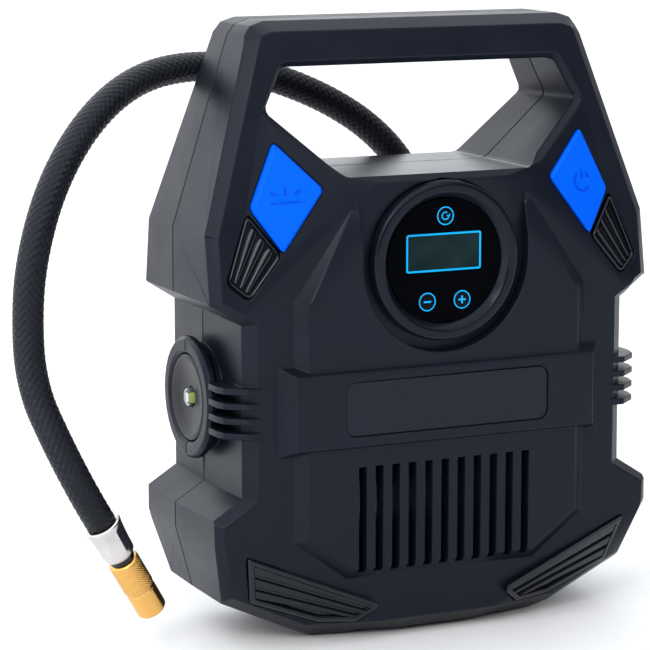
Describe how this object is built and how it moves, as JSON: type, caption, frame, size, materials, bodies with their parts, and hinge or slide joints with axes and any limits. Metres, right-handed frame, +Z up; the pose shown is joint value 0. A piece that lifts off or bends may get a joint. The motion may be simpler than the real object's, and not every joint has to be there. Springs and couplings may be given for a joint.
{
  "type": "portable tire inflator",
  "caption": "Upright handle-topped air pump with a round digital gauge, push buttons, side lamp, vents and a braided hose ending in a screw-on chuck.",
  "frame": {"origin": "on the standing surface, under the centre of the case", "axes": "+Z up, -Y out of the display, +X to the right seen from the front; the lamp is on the -X side"},
  "size_m": [0.251, 0.0916, 0.2305],
  "materials": {
    "case": "fine satin texture",
    "gloss_black": "polished black",
    "lens": "black-backed clear cover",
    "screen": "dark teal display window",
    "board": "lacquered circuit board",
    "blue": "satin saturated blue",
    "plate": "smooth satin",
    "clear": "clear moulded lens",
    "led": "yellow-green phosphor",
    "steel": "plain drawn steel",
    "zinc": "bright plated, lightly scratched",
    "alloy": "die cast",
    "brass": "turned and knurled",
    "rubber": "matt moulded rubber",
    "nylon": "natural nylon",
    "braid": "black textile braid over rubber"
  },
  "bodies": {
    "case": {"front_shell": "case", "rear_shell": "case", "display_bezel": "gloss_black", "display_lens": "lens", "lcd_module": "screen", "control_board": "board", "light_switch": "board", "power_switch": "board", "upper_left_insert": "gloss_black", "upper_right_insert": "gloss_black", "lower_left_grille": "gloss_black", "lower_right_grille": "gloss_black", "name_plate": "plate", "lamp_reflector": "gloss_black", "lamp_lens": "clear", "lamp_led": "led", "lamp_board": "board", "side_cap": "gloss_black", "motor_can": "steel", "motor_end_cap": "nylon", "motor_ring_left": "rubber", "motor_ring_right": "rubber", "crank_axle": "steel", "pump_frame": "alloy", "pump_cylinder": "alloy", "cylinder_head": "alloy", "air_line": "rubber", "hose_gland": "rubber", "hose": "braid", "hose_ferrule": "zinc", "chuck_stem": "gloss_black", "power_gland": "rubber", "housing_screw_1": "steel", "housing_screw_2": "steel", "housing_screw_3": "steel", "housing_screw_4": "steel", "housing_screw_5": "steel", "housing_screw_6": "steel"},
    "unit_key": {"unit_button": "gloss_black"},
    "minus_key": {"minus_button": "gloss_black"},
    "plus_key": {"plus_button": "gloss_black"},
    "light_key": {"light_button": "blue"},
    "power_key": {"power_button": "blue"},
    "rotor": {"motor_shaft": "steel", "motor_pinion": "brass", "motor_fan": "nylon"},
    "crank": {"crank_gear": "nylon", "crank_pin": "steel"},
    "piston": {"piston_rod": "alloy", "piston_cup": "rubber"},
    "chuck": {"chuck_collar": "brass", "chuck_seal": "rubber"}
  },
  "joints": [
    {"name": "unit_press", "type": "slide", "parent": "case", "child": "unit_key", "axis": [0, 1, 0], "range_m": [0, 0.0005], "stiffness_N_per_m": 600},
    {"name": "minus_press", "type": "slide", "parent": "case", "child": "minus_key", "axis": [0, 1, 0], "range_m": [0, 0.0005], "stiffness_N_per_m": 600},
    {"name": "plus_press", "type": "slide", "parent": "case", "child": "plus_key", "axis": [0, 1, 0], "range_m": [0, 0.0005], "stiffness_N_per_m": 600},
    {"name": "light_press", "type": "slide", "parent": "case", "child": "light_key", "axis": [0, 1, 0], "range_m": [0, 0.0014], "stiffness_N_per_m": 800},
    {"name": "power_press", "type": "slide", "parent": "case", "child": "power_key", "axis": [0, 1, 0], "range_m": [0, 0.0014], "stiffness_N_per_m": 800},
    {"name": "rotor_spin", "type": "hinge", "parent": "case", "child": "rotor", "pos_m": [-0.02, 0, 0.046], "axis": [1, 0, 0], "continuous": true},
    {"name": "crank_spin", "type": "hinge", "parent": "case", "child": "crank", "pos_m": [0.015, 0, 0.0722], "axis": [1, 0, 0], "continuous": true},
    {"name": "piston_slide", "type": "slide", "parent": "case", "child": "piston", "axis": [0, 0, 1], "range_m": [-0.014, 0]},
    {"name": "chuck_swivel", "type": "hinge", "parent": "case", "child": "chuck", "pos_m": [-0.12163, -0.02406, 0.03792], "axis": [0.5096, 0.1616, -0.8451], "continuous": true}
  ],
  "couplings": [
    {"joint": "rotor_spin", "follows": "crank_spin", "ratio": -5}
  ]
}
